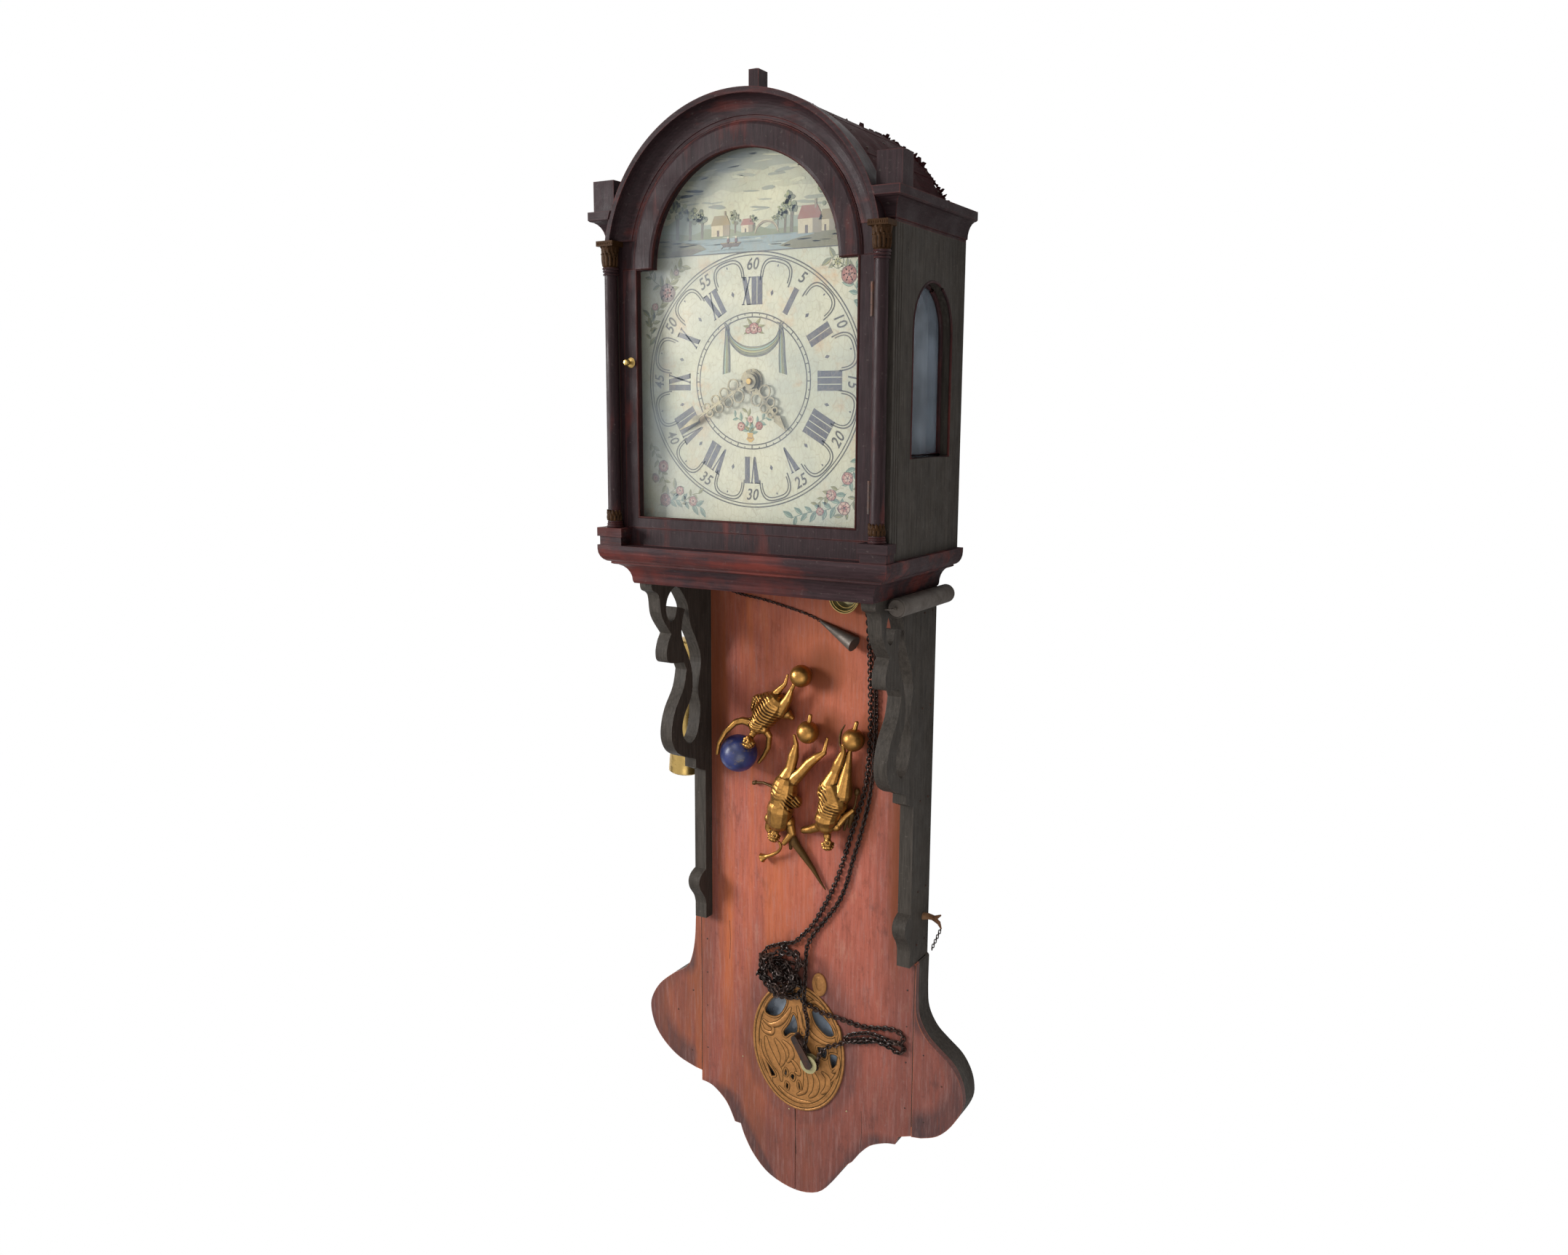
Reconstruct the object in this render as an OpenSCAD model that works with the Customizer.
// Frisian tail clock: a long wall clock with an arched hood and a flat scrolled tail.
// The clock is drawn lying on its back. X runs across it, Y up along it and Z out of the
// dial. The origin is where the axis of the hands meets the plane of the wall.
// Millimetres throughout.

/* [Hood] */
// Half the width over the hood's side panels
hood_half_w = 158; // [156:1:162]
// Thickness of a side panel
side_t = 12; // [11:0.5:13]
// Height of the side panels' top edge above the hands
hood_top_y = 136; // [134:1:139]
// Depth of the side panels' bottom edge below the hands
hood_low = 164; // [162:1:170]
// Height of the fixed front frame's face above the wall
frame_z = 162; // [160:1:168]
// Thickness of the fixed front frame
frame_t = 12; // [10:0.5:13]

/* [Side windows] */
// Half the width of the arched window in each side panel
side_win_half = 45; // [30:1:50]
// Height of the window's springing line above the hands
side_win_spring = 47; // [30:1:60]
// Depth of the window's sill below the hands
side_win_low = 71; // [50:1:90]
// Distance of the window's middle from the wall
side_win_z = 75; // [65:1:80]
// Thickness of every pane
pane_t = 2; // [1.5:0.1:2.2]
// Overlap of a pane behind the wood round its opening
pane_lap = 4; // [3:0.5:5]

/* [Arch] */
// Height of the arch's centre above the hands
arch_y = 109; // [106:1:112]
// Distance of the arch moulding's outer edge inside the side panels' faces
arch_inset = 6; // [3:0.5:8]
// Width of the arch moulding with the gap to the door
arch_wide = 25.5; // [24:0.5:28]
// Width of the door's rail round the arched glass
arch_rail = 23; // [21:0.5:28]
// Height of the arch moulding above the frame's face
arch_proud = 16; // [10:1:20]
// Thickness of the roof boards
roof_t = 6; // [4:0.5:8]
// Width of the peg on top of the roof
peg_w = 11; // [9:1:16]
// Depth of the peg from front to back
peg_d = 16; // [12:1:20]
// Height of the peg
peg_h = 25; // [15:1:28]

/* [Cornice and blocks] */
// Height of the cornice
cornice_h = 28; // [24:1:30]
// Overhang of the cornice at the sides
cornice_side = 11.5; // [9:0.5:14]
// Overhang of the cornice at the front
cornice_front = 17; // [14:0.5:20]
// Height of the blocks on the cornice
block_h = 30; // [24:1:36]
// Width of the blocks on the cornice
block_w = 25; // [20:1:26]
// Depth of the blocks from front to back
block_d = 22; // [18:1:24]
// Radius of the peg holes for the finials
socket_r = 3; // [2.8:0.1:4]
// Depth of the peg holes for the finials
socket_deep = 14; // [10:1:18]

/* [Base moulding] */
// Height of the moulding under the hood
base_h = 41; // [38:1:46]
// Distance of the moulding's lower edge inside the side panels' faces
base_inset = 20; // [16:1:21]
// Front of the moulding's lower edge, above the wall
base_z = 154; // [150:1:158]
// Reach of the moulding's upper edge beyond its lower edge
base_reach = 26.5; // [24:0.5:29]
// Thickness of the moulding's lower edge beside the open bottom
base_wall = 8; // [6:1:10]

/* [Door] */
// Distance of the door's edges inside the side panels' faces
door_inset = 19; // [18:0.5:21]
// Depth of the door's lower edge below the hands
door_low = 146; // [144:0.5:148]
// Thickness of the door
door_t = 12; // [11:0.5:13]
// Width of the door's stiles outside the glass
door_stile = 15.5; // [13:0.5:21]
// Depth of the glass's lower edge below the hands
glass_low = 135; // [130:0.5:136]
// Gap round the door
door_gap = 0.4; // [0.3:0.1:1]
// Radius of the door's hinge knuckles
knuckle_r = 2.4; // [2.1:0.1:2.5]
// Length of one hinge, three knuckles long
hinge_len = 30; // [20:1:50]
// Height of the upper hinge above the hands
hinge_up = 70; // [40:1:90]
// Depth of the lower hinge below the hands
hinge_low = 105; // [60:1:125]

/* [Columns] */
// Radius of the columns
col_r = 7.5; // [6:0.5:8]
// Half the width of a capital
cap_half = 10; // [9:0.5:11]
// Height of a capital
cap_h = 25; // [20:1:28]
// Width of a pedestal
ped_w = 31; // [26:1:34]
// Height of a pedestal
ped_h = 17.6; // [14:0.2:17.8]
// Projection of a pedestal from the frame's face
ped_d = 18; // [17:0.5:20]

/* [Dial] */
// Height of the dial's face above the wall
dial_z = 144; // [143:0.5:145]
// Thickness of the dial's iron sheet
dial_t = 1.6; // [1:0.1:2]
// Distance of the dial's edges inside the door's edges
dial_inset = 4; // [1:1:9]
// Depth of the dial's lower edge below the hands
dial_low = 150; // [140:1:154]
// Distance of the dial's arch inside the door's arch
dial_arch_inset = 9.5; // [5:0.5:16]

/* [Hands] */
// Length of the minute hand
minute_len = 96; // [80:1:108]
// Length of the hour hand
hour_len = 62; // [50:1:72]
// Radius of the alarm disc
alarm_r = 12; // [10:0.5:14]
// Thickness of the brass of the hands
hand_t = 1; // [0.8:0.1:1.2]
// Hour shown at rest
show_hour = 4; // [0:1:11]
// Minute shown at rest
show_minute = 40; // [0:1:59]

/* [Tail] */
// Half the width over the tail's side boards
tail_half_w = 137; // [135:0.5:138]
// Thickness of a side board
board_side_t = 15; // [12:0.5:16]
// Height of the tail's front face above the wall
tail_z = 34; // [32:1:40]
// Thickness of the tail's front board
board_t = 8; // [6:0.5:9]
// Thickness of the back board
back_t = 6; // [5:0.5:7]
// Height of the side boards' front edge above the wall
strip_z = 47; // [44:1:52]
// Depth of the side boards' lower end below the hands
strip_low = 610; // [590:1:630]
// Depth of the joint between side lobe and bottom lobe
lobe_low = 812; // [800:1:830]
// Depth of the tail's lowest point
tail_low = 926; // [910:1:940]
// Reach of the left lobe beyond the tail
lobe_left = 75; // [60:1:85]
// Reach of the right lobe beyond the tail
lobe_right = 58; // [50:1:75]

/* [Brackets] */
// Height of the bracket's front corner above the wall
bracket_z = 146; // [138:1:150]
// Depth of the bracket's foot below the hands
bracket_low = 432; // [420:1:445]

/* [Window in the tail] */
// Place of the window across the tail
win_x = -5; // [-10:1:10]
// Depth of the window's centre below the hands
win_low = 745; // [735:1:755]
// Half the width of the brass fretwork
fret_half_w = 60; // [54:1:64]
// Half the height of the brass fretwork
fret_half_h = 77; // [70:1:80]
// Width of the fretwork's oval band
fret_band = 9; // [7:0.5:12]
// Thickness of the fretwork
fret_t = 1.5; // [1:0.1:2]

/* [Movement] */
// Module of the going train's wheels
train_module = 1; // [0.98:0.01:1.02]
// Teeth of the great wheel
great_teeth = 72; // [70:1:74]
// Teeth of the centre wheel
centre_teeth = 64; // [62:1:66]
// Teeth of the third wheel
third_teeth = 60; // [58:1:62]
// Leaves of each pinion
leaves = 8; // [8:1:9]
// Teeth of the escape wheel
escape_teeth = 33; // [30:1:36]
// Radius of the escape wheel
escape_r = 18; // [16:0.5:19]
// Radius of the chain wheel's body
sprocket_r = 22; // [20:0.5:23]
// Thickness of the wheels
wheel_t = 2.5; // [2:0.1:3]
// Thickness of the upright bars
bar_t = 4; // [3:0.5:5]
// Half the width of the upright bars
bar_half_w = 25; // [23:1:28]
// Half the width of the movement's top and bottom plates
plate_half_w = 48; // [44:1:54]
// Thickness of the top and bottom plates
plate_t = 4; // [3:0.5:5]
// Height of the movement's top plate above the hands
plate_top = 100; // [98:1:104]
// Depth of the movement's bottom plate below the hands
plate_low = 98; // [94:1:100]
// Thickness of the seat board
seat_t = 12; // [10:1:14]
// Radius of the arbors
arbor_r = 2; // [1.8:0.1:2.2]
// Running clearance between an arbor and its hole, on the radius
run = 0.06; // [0.03:0.01:0.09]
// Radius of the bell
bell_r = 38; // [30:1:42]

/* [Pendulum] */
// Height of the pendulum's pivot above the hands
pivot_y = 88; // [86:1:90]
// Height of the pendulum's middle plane above the wall
pend_z = 14.5; // [13.5:0.5:15.5]
// Radius of the pendulum rod
rod_r = 2.2; // [1.8:0.1:2.6]
// Radius of the bob
bob_r = 45; // [36:1:50]
// Thickness of the bob
bob_t = 12; // [8:0.5:13]

/* [Loose pieces] */
// Radius of the long brass weight
weight_r = 18; // [16:1:22]
// Length of the long brass weight
weight_len = 160; // [140:1:180]
// Turn of the weight away from the bracket, in degrees
weight_lean = 5; // [0:1:8]
// Depth of the long brass weight's lower end below the hands
weight_low = 448; // [430:1:470]
// Radius of the lead counterweight
lead_r = 9.5; // [8:0.5:11]
// Length of the lead counterweight
lead_len = 124; // [100:1:140]
// Radius of the cone weight's base
cone_r = 9; // [7:0.5:10]
// Length of the cone weight
cone_len = 48; // [40:1:56]
// Radius of the blue globe
globe_r = 21; // [18:0.5:23]
// Radius of the balls under the figures' feet
ball_r = 12.5; // [10:0.5:14]
// Outside radius of the loose pulley wheel
sheave_r = 10.5; // [10:0.5:12]
// Thickness of the loose pulley wheel
sheave_t = 7; // [6:0.5:8]

/* [Chains] */
// Diameter of the driving chain
chain_d = 4.6; // [4:0.1:4.8]
// Diameter of the thin alarm chain
thin_d = 3; // [2.4:0.1:3.2]

/* [Hidden] */
$fn = 64;

// Clearance between pieces that slide past each other
slip = 0.3;
// Overlap of a cutter past the face that it cuts
over = 1;

side_in = hood_half_w - side_t;
arch_r = hood_half_w - arch_inset;
arch_door_r = arch_r - arch_wide;
arch_glass_r = arch_door_r - arch_rail;
door_half_w = hood_half_w - door_inset;
glass_half_w = door_half_w - door_stile;
dial_half_w = door_half_w - dial_inset;
dial_arch_r = arch_door_r - dial_arch_inset;
base_half_w = hood_half_w - base_inset;
base_open_half = base_half_w - base_wall;
frame_back = frame_z - frame_t;
roof_out_r = arch_r - 1;
roof_in_r = roof_out_r - roof_t;
roof_top = arch_y + roof_out_r;
cornice_top = hood_top_y + cornice_h;
cornice_in = sqrt(pow(roof_out_r, 2) - pow(hood_top_y - arch_y, 2)) + slip;
arch_front = frame_z + arch_proud;
base_low = hood_low + base_h;
door_front = frame_z + 1;
door_back = door_front - door_t;
hinge_x = door_half_w + door_gap / 2;
hinge_z = door_front + knuckle_r + 0.2;
pin_r = 1.2;
col_x = door_half_w + slip + cap_half;
col_z = frame_z + slip + col_r;
col_low = hood_low - ped_h;
cap_low = hood_top_y - cap_h;
board_back = tail_z - board_t;
tail_in = tail_half_w - board_side_t;
tail_top = hood_low + 2;
joint_x = tail_half_w + 1;
back_low = lobe_low - 12;

minute_turn = -6 * show_minute;
hour_turn = -30 * show_hour - show_minute / 2;

great_c = [0, -train_module * (great_teeth + leaves) / 2];
third_d = train_module * (centre_teeth + leaves) / 2;
third_c = [-third_d / 2, third_d * sqrt(3) / 2];
escape_d = train_module * (third_teeth + leaves) / 2;
escape_c = [0, third_c[1] + sqrt(pow(escape_d, 2) - pow(third_c[0], 2))];
// Height of the three upright bars' lower faces above the wall
back_bar_z = 44;
mid_bar_z = 80;
front_bar_z = 116;
bars_top = front_bar_z + bar_t;
great_z = 88;
sprocket_z = great_z + 6;
sprocket_w = 8;
chain_z = sprocket_z + sprocket_w / 2;
third_z = 96;
centre_z = 104;
escape_z = 110;
pinion_over = 1;
seat_top = -plate_low;
seat_low = seat_top - seat_t;

// Motion work behind the dial, 12 to 1 in two steps of equal centre distance
motion_module = 0.8;
cannon_teeth = 15;
motion_teeth = 45;
motion_leaves = 12;
hour_teeth = 48;
motion_d = motion_module * (cannon_teeth + motion_teeth) / 2;
motion_z = bars_top + 4.5;
motion_t = 2;
hour_wheel_z = motion_z + motion_t + 3;
cannon_in = arbor_r + run;
cannon_out = 3.2;
hour_in = cannon_out + run;
hour_out = 4.5;
alarm_in = hour_out + run;
alarm_z = dial_z + 0.6;
hour_z = alarm_z + 1.6;
minute_z = hour_z + hand_t + 1;

win_y = -win_low;
bob_y = win_y;
pane_back = board_back - pane_t;

chain_r = chain_d / 2;
sprocket_run = sprocket_r + chain_r;
chain_hole_r = chain_r + 1.5;
thin_x = -100;
// Height of a chain's middle when it lies on the tail, and when it lies on the fretwork
lie = tail_z + chain_r + 0.2;
lie_up = lie + fret_t;
step_up = chain_d + 0.5;
thin_lie = tail_z + thin_d / 2 + 0.2;

wood_dark = "#3a2422";
wood_red = "#8a4230";
wood_grey = "#33352f";
brass = "#a98a45";
iron = "#3a3836";
gilt = "#b98d3c";
glass = "#9fb0b8";

// Curves through a few hand-set points
function catmull(a, b, c, d, t) =
  0.5 * (2 * b + (c - a) * t + (2 * a - 5 * b + 4 * c - d) * t * t
  + (3 * b - a - 3 * c + d) * t * t * t);
function curve(p, n) = let (m = len(p) - 1) concat(
  [for (i = [0:m - 1]) for (j = [0:n - 1])
    catmull(p[max(i - 1, 0)], p[i], p[i + 1], p[min(i + 2, m)], j / n)], [p[m]]);
function loop_curve(p, n) = let (m = len(p))
  [for (i = [0:m - 1]) for (j = [0:n - 1])
    catmull(p[(i + m - 1) % m], p[i], p[(i + 1) % m], p[(i + 2) % m], j / n)];
function oval(rx, ry, n) = [for (i = [0:n - 1]) [rx * cos(360 * i / n), ry * sin(360 * i / n)]];
function mirrored(p) = [for (i = [len(p) - 1:-1:0]) [-p[i][0], p[i][1]]];

// Stretches a flat outline drawn in Y and Z along X, from x0
module across(x0, t) {
  translate([x0, 0, 0]) rotate([90, 0, 90]) linear_extrude(t) children();
}
// Turns a shape made round Z so that it stands round Y
module upright(x, y, z) {
  translate([x, y, z]) rotate([-90, 0, 0]) children();
}
module slab(x0, x1, y0, y1, z0, z1) {
  translate([x0, y0, z0]) cube([x1 - x0, y1 - y0, z1 - z0]);
}

// Tube of many sides along a list of points
function unit(v) = v / norm(v);
function heading(p, i) = unit(p[min(i + 1, len(p) - 1)] - p[max(i - 1, 0)]);
function sideways(h) = abs(h[2]) > 0.97 ? unit(cross(h, [0, 1, 0])) : unit(cross(h, [0, 0, 1]));
function ring_at(c, h, r, n) = let (s = sideways(h), u = cross(s, h))
  [for (k = [0:n - 1]) c + r * (cos(360 * k / n) * s + sin(360 * k / n) * u)];
module tube(p, r, n) {
  m = len(p);
  points = [for (i = [0:m - 1]) each ring_at(p[i], heading(p, i), r, n)];
  walls = [for (i = [0:m - 2]) for (k = [0:n - 1]) let (a = i * n + k, b = i * n + (k + 1) % n)
    each [[a, b, b + n], [a, b + n, a + n]]];
  first = [for (k = [1:n - 2]) [0, k + 1, k]];
  last = [for (k = [1:n - 2]) let (s = (m - 1) * n) [s, s + k, s + k + 1]];
  polyhedron(points, concat(walls, first, last));
}

// Wheel with straight-sided teeth; a tooth lies on the direction given by turn
function tooth_ring(teeth, m, high, deep, foot, tip, turn) =
  let (r = teeth * m / 2, p = 360 / teeth)
  [for (i = [0:teeth - 1]) each [
    for (q = [[-foot, -deep], [-tip, high], [tip, high], [foot, -deep]])
      (r + q[1] * m) * [cos(turn + (i + q[0]) * p), sin(turn + (i + q[0]) * p)]]];
module wheel_2d(teeth, m, turn) {
  polygon(tooth_ring(teeth, m, 0.62, 1.15, 0.3, 0.1, turn));
}
module pinion_2d(teeth, m, turn) {
  polygon(tooth_ring(teeth, m, 0.5, 1.2, 0.2, 0.11, turn));
}
module spokes_2d(r_out, r_in, count, wide) {
  difference() {
    circle(r_out);
    circle(r_in);
    for (i = [0:count - 1]) rotate(i * 360 / count) translate([0, -wide / 2]) square([r_out, wide]);
  }
}
module wheel(teeth, m, turn, z, t, hub) {
  r = teeth * m / 2;
  translate([0, 0, z]) linear_extrude(t) difference() {
    wheel_2d(teeth, m, turn);
    spokes_2d(r - 4 * m, hub, 4, 4);
  }
}

// Moulding outlines: reach outwards against height, from 0 to 1
function cove(n) = [for (i = [0:n]) [1 - cos(90 * i / n), sin(90 * i / n)]];
cornice_steps = concat([[0, 0], [0, 0.08]],
  [for (q = cove(6)) [0.12 + 0.78 * q[0], 0.1 + 0.58 * q[1]]], [[0.94, 0.7], [1, 0.72], [1, 1]]);
base_steps = concat([[0, 0]],
  [for (q = cove(6)) [0.04 + 0.52 * q[0], 0.06 + 0.44 * q[1]]], [[0.63, 0.52], [0.63, 0.57]],
  [for (i = [1:5]) [0.63 + 0.37 * sin(18 * i), 0.57 + 0.33 * (1 - cos(18 * i))]], [[1, 1]]);
// Block that a moulding is cut from: steps gives the reach at the sides and the front
module moulded_block(steps, y0, high, half_w, reach_x, front, reach_z) {
  right = [for (s = steps) [half_w + reach_x * s[0], y0 + high * s[1]]];
  nose = [for (s = steps) [y0 + high * s[1], front + reach_z * s[0]]];
  intersection() {
    linear_extrude(front + reach_z + over) polygon(concat(right, mirrored(right)));
    across(-half_w - reach_x - over, 2 * (half_w + reach_x + over))
      polygon(concat([[y0 + high, 0], [y0, 0]], nose));
  }
}

// Back board with the hanging hole, running the whole height of the clock
module back_board() color(wood_dark) {
  linear_extrude(back_t) difference() {
    union() {
      translate([-side_in + slip, -hood_low + slip])
        square([2 * (side_in - slip), hood_top_y + hood_low - slip]);
      intersection() {
        translate([0, arch_y]) circle(roof_in_r - slip);
        translate([-arch_r, arch_y]) square(2 * arch_r);
      }
      translate([-tail_in, -strip_low]) square([2 * tail_in, strip_low - hood_low + over]);
      translate([-joint_x, -back_low]) square([2 * joint_x, back_low - strip_low]);
    }
    translate([0, hang_y]) circle(hang_r);
  }
}
hang_y = arch_y + 100;
hang_r = 6;

// Front board of the tail: reddish boards with a scrolled lower edge and an oval opening
bottom_half = [[-joint_x, -lobe_low - 13], [-122, -lobe_low - 16], [-103, -lobe_low - 31],
  [-91, -lobe_low - 53]];
bottom_lobe = [[-83, -lobe_low - 53], [-77, -lobe_low - 68], [-64, -lobe_low - 88],
  [-42, -tail_low + 8], [-8, -tail_low], [22, -tail_low + 7], [42, -lobe_low - 86],
  [56, -lobe_low - 64], [66, -lobe_low - 54]];
bottom_right = [[74, -lobe_low - 42], [88, -lobe_low - 27], [106, -lobe_low - 18],
  [119, -lobe_low - 15]];
function bottom_edge() = concat(curve(bottom_half, 4), curve(bottom_lobe, 4),
  curve(bottom_right, 4), [[122, -lobe_low - 5], [joint_x, -lobe_low + 1]]);
module tail_front_board() color(wood_red) {
  translate([0, 0, board_back]) linear_extrude(board_t) difference() {
    union() {
      translate([-tail_in, -strip_low - over]) square([2 * tail_in, strip_low + over - tail_top]);
      polygon(concat([[joint_x, -strip_low], [-joint_x, -strip_low]], bottom_edge()));
    }
    translate([win_x, win_y]) polygon(oval(fret_half_w - fret_band + 2, fret_half_h - fret_band + 2, 48));
    // Shrinkage crack below the window
    translate([-8.4, -tail_low - over]) square([0.8, tail_low - win_low - fret_half_h]);
  }
}

// Side board with its fretted bracket, drawn in Y and Z
bracket_nose = [[-base_low - slip, bracket_z], [-base_low - 8, bracket_z - 2],
  [-base_low - 15, bracket_z - 13], [-base_low - 38, bracket_z - 18],
  [-base_low - 59, bracket_z - 35]];
bracket_knob = [[-base_low - 66, bracket_z - 30], [-base_low - 79, bracket_z - 26],
  [-base_low - 90, bracket_z - 31], [-base_low - 94, bracket_z - 58]];
bracket_belly = [[-base_low - 103, bracket_z - 63], [-base_low - 123, bracket_z - 57],
  [-base_low - 143, bracket_z - 42], [-base_low - 160, bracket_z - 35],
  [-base_low - 176, bracket_z - 34], [-base_low - 190, bracket_z - 41],
  [-bracket_low + 28, bracket_z - 54], [-bracket_low + 20, bracket_z - 76]];
strip_ear = [[-strip_low + 60, strip_z], [-strip_low + 56, strip_z + 9],
  [-strip_low + 49, strip_z + 14], [-strip_low + 39, strip_z + 12],
  [-strip_low + 27, strip_z + 3], [-strip_low + 18, strip_z]];
// Front edge of the opening from the top to its foot, round the curled tip of the scroll
gap_front = [[-base_low - 9, 104], [-base_low - 17, 115.5], [-base_low - 28, 120],
  [-base_low - 39, 118.5], [-base_low - 46, 111.5], [-base_low - 43, 104.5],
  [-base_low - 34, 101], [-base_low - 31.5, 99], [-base_low - 35, 86.5],
  [-base_low - 38, 86.5], [-base_low - 46, 90], [-base_low - 60, 92],
  [-base_low - 72, 88.5], [-base_low - 88, 79.5], [-base_low - 105, 73],
  [-base_low - 124, 71.5], [-base_low - 138, 76], [-base_low - 151, 86],
  [-base_low - 164, 91.5], [-base_low - 177, 90], [-base_low - 187, 81]];
// Its rear edge, from the foot back to the top
gap_rear = [[-base_low - 187, 73], [-base_low - 181, 64.5], [-base_low - 165, 58.5],
  [-base_low - 148, 57], [-base_low - 132, 61], [-base_low - 114, 58],
  [-base_low - 95, 55], [-base_low - 76, 62], [-base_low - 58, 73],
  [-base_low - 45, 77.5], [-base_low - 32, 80], [-base_low - 22, 86],
  [-base_low - 12, 95]];
module side_board_2d() {
  difference() {
    polygon(concat([[-strip_low, 0], [-base_low - slip, 0]], curve(bracket_nose, 5),
      curve(bracket_knob, 5), curve(bracket_belly, 4),
      [[-bracket_low + 18, 66], [-bracket_low + 8, 66], [-bracket_low, strip_z]],
      curve(strip_ear, 4), [[-strip_low, strip_z]]));
    polygon(loop_curve(concat(gap_front, gap_rear), 4));
  }
}
module side_board(x0) color(wood_grey) across(x0, board_side_t) side_board_2d();
module side_board_left() side_board(-tail_half_w);
module side_board_right() side_board(tail_in);

// Side lobes glued to the front board, with thick blocks behind them
left_shape = [[0.07, 0.01], [0.1, 0.03], [0.12, 0.17], [0.18, 0.29], [0.29, 0.37], [0.57, 0.44],
  [0.81, 0.52], [0.96, 0.61], [1, 0.69], [0.92, 0.8], [0.73, 0.89], [0.45, 0.96], [0.12, 0.995]];
right_shape = [[0.02, 0.01], [0.02, 0.2], [0.06, 0.31], [0.23, 0.4], [0.47, 0.46], [0.74, 0.52],
  [0.91, 0.59], [1, 0.67], [0.99, 0.76], [0.79, 0.87], [0.52, 0.95], [0.2, 0.99]];
function lobe_outline(shape, reach) = let (drop = lobe_low - strip_low) concat([[0, -strip_low]],
  curve([for (q = shape) [reach * q[0], -strip_low - drop * q[1]]], 4), [[0, -lobe_low]]);
module lobe_left_2d() mirror([1, 0]) translate([joint_x, 0]) polygon(lobe_outline(left_shape, lobe_left));
module lobe_right_2d() translate([joint_x, 0]) polygon(lobe_outline(right_shape, lobe_right));
module side_lobes() color(wood_red) translate([0, 0, board_back]) {
  linear_extrude(board_t) lobe_left_2d();
  linear_extrude(board_t) lobe_right_2d();
}
module lobe_blocks() color(wood_grey) {
  linear_extrude(board_back) lobe_left_2d();
  linear_extrude(board_back) lobe_right_2d();
  difference() {
    linear_extrude(board_back)
      polygon(concat([[joint_x, -back_low - slip], [-joint_x, -back_low - slip]], bottom_edge()));
    // Hollow for the pane and the end of the pendulum
    translate([win_x, win_y, back_t]) linear_extrude(board_back)
      polygon(oval(fret_half_w + 16, fret_half_h + 8, 48));
  }
}

// Pane and brass fretwork over the bob
module window_glass() color(glass) {
  translate([win_x, win_y, pane_back]) linear_extrude(pane_t)
    polygon(oval(fret_half_w - fret_band + 2 + pane_lap, fret_half_h - fret_band + 2 + pane_lap, 48));
}
module fret_scroll(x, y, r, wide) {
  translate([x, y]) difference() {
    circle(r);
    circle(r - wide);
  }
}
module window_fretwork() color(brass) {
  translate([win_x, win_y, tail_z]) linear_extrude(fret_t) {
    difference() {
      polygon(oval(fret_half_w, fret_half_h, 72));
      polygon(oval(fret_half_w - fret_band, fret_half_h - fret_band, 72));
    }
    intersection() {
      polygon(oval(fret_half_w - over, fret_half_h - over, 72));
      union() {
        translate([-2.5, -fret_half_h]) square([5, 2 * fret_half_h]);
        for (s = [-1, 1]) {
          fret_scroll(s * 19, 22, 19, 5);
          fret_scroll(s * 24, -22, 23, 6);
          fret_scroll(s * 13, -52, 15, 5);
          fret_scroll(s * 38, 6, 14, 4);
        }
        circle(9);
      }
    }
    // Raised leaf at the upper right of the oval
    translate([27, fret_half_h + 6]) polygon(oval(9, 14, 24));
    translate([16, fret_half_h - 14]) square([15, 14]);
  }
}

// Hood side with its arched window and three reeds cut near the front corner
module hood_side_2d() {
  difference() {
    translate([-hood_low, 0]) square([hood_low + hood_top_y, frame_z]);
    translate([-side_win_low, side_win_z - side_win_half])
      square([side_win_low + side_win_spring, 2 * side_win_half]);
    translate([side_win_spring, side_win_z]) circle(side_win_half);
  }
}
module hood_side(s) {
  color(wood_grey) difference() {
    across(s > 0 ? side_in : -hood_half_w, side_t) hood_side_2d();
    for (i = [0:2]) translate([s * hood_half_w, 0, frame_z - 5 - 5 * i])
      cube([1.6, 2 * (hood_low + over), 1.2], center = true);
  }
}
module hood_side_left() hood_side(-1);
module hood_side_right() hood_side(1);
module side_glasses() color(glass) {
  for (x0 = [side_in - pane_t, -side_in]) across(x0, pane_t) {
    translate([-side_win_low - pane_lap, side_win_z - side_win_half - pane_lap])
      square([side_win_low + side_win_spring + pane_lap, 2 * (side_win_half + pane_lap)]);
    translate([side_win_spring, side_win_z]) circle(side_win_half + pane_lap);
  }
}

// Outline of the door, grown by a gap or shrunk by a negative one
module door_2d(gap) {
  translate([-door_half_w - gap, -door_low - gap])
    square([2 * (door_half_w + gap), door_low + arch_y + 2 * gap]);
  translate([0, arch_y]) circle(arch_door_r + gap);
}
// Fixed frame that the door closes into
module front_frame() color(wood_dark) {
  difference() {
    translate([0, 0, frame_back]) linear_extrude(frame_t) difference() {
      union() {
        translate([-side_in, -hood_low]) square([2 * side_in, hood_low + hood_top_y]);
        intersection() {
          translate([0, arch_y]) circle(roof_out_r);
          translate([-arch_r, hood_top_y]) square(2 * arch_r);
        }
      }
      door_2d(door_gap);
    }
    frame_hinges();
  }
}
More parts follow.
